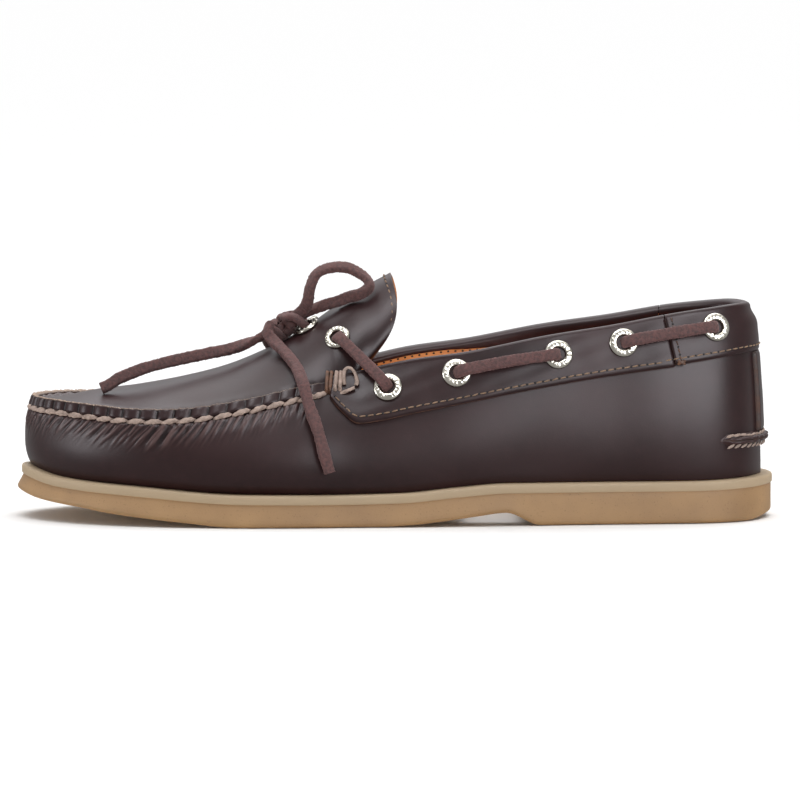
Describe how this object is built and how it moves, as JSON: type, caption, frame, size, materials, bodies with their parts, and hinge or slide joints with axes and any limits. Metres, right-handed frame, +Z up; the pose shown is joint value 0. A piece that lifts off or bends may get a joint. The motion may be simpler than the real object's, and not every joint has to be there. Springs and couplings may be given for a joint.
{
  "type": "boat shoe",
  "caption": "Left boat shoe in smooth leather with a hand-sewn toe seam, side laces through metal eyelets and a pale rubber sole.",
  "frame": {"origin": "middle of the sole's length and width, on the floor", "axes": "+X from the toe to the heel, +Y to the inner side of the foot, +Z up"},
  "size_m": [0.2985, 0.1069, 0.1004],
  "materials": {
    "upper_leather": "glossy",
    "sole_rubber": "matte",
    "lining_leather": "matte",
    "eyelet_nickel": "polished",
    "lace_leather": "matte"
  },
  "bodies": {
    "root": {"outsole": "sole_rubber", "insole": "lining_leather", "upper": "upper_leather", "apron_tongue": "upper_leather", "collar_band_heel": "upper_leather", "back_strap": "upper_leather", "heel_seam": "upper_leather", "collar_band_outer": "upper_leather", "eyelet_outer_1": "eyelet_nickel", "eyelet_outer_2": "eyelet_nickel", "eyelet_outer_3": "eyelet_nickel", "eyelet_outer_4": "eyelet_nickel", "eyelet_outer_5": "eyelet_nickel", "tongue_eyelet_outer_1": "eyelet_nickel", "tongue_eyelet_outer_2": "eyelet_nickel", "lace_bar_outer_1": "lace_leather", "lace_bar_outer_2": "lace_leather", "lace_bar_outer_3": "lace_leather", "lace_lead_outer": "lace_leather", "collar_band_inner": "upper_leather", "eyelet_inner_1": "eyelet_nickel", "eyelet_inner_2": "eyelet_nickel", "eyelet_inner_3": "eyelet_nickel", "eyelet_inner_4": "eyelet_nickel", "eyelet_inner_5": "eyelet_nickel", "tongue_eyelet_inner_1": "eyelet_nickel", "tongue_eyelet_inner_2": "eyelet_nickel", "lace_bar_inner_1": "lace_leather", "lace_bar_inner_2": "lace_leather", "lace_bar_inner_3": "lace_leather", "lace_lead_inner": "lace_leather", "lace_knot": "lace_leather", "lace_loop_back": "lace_leather", "lace_loop_inner": "lace_leather", "lace_end_side": "lace_leather", "lace_end_toe": "lace_leather"}
  },
  "joints": []
}
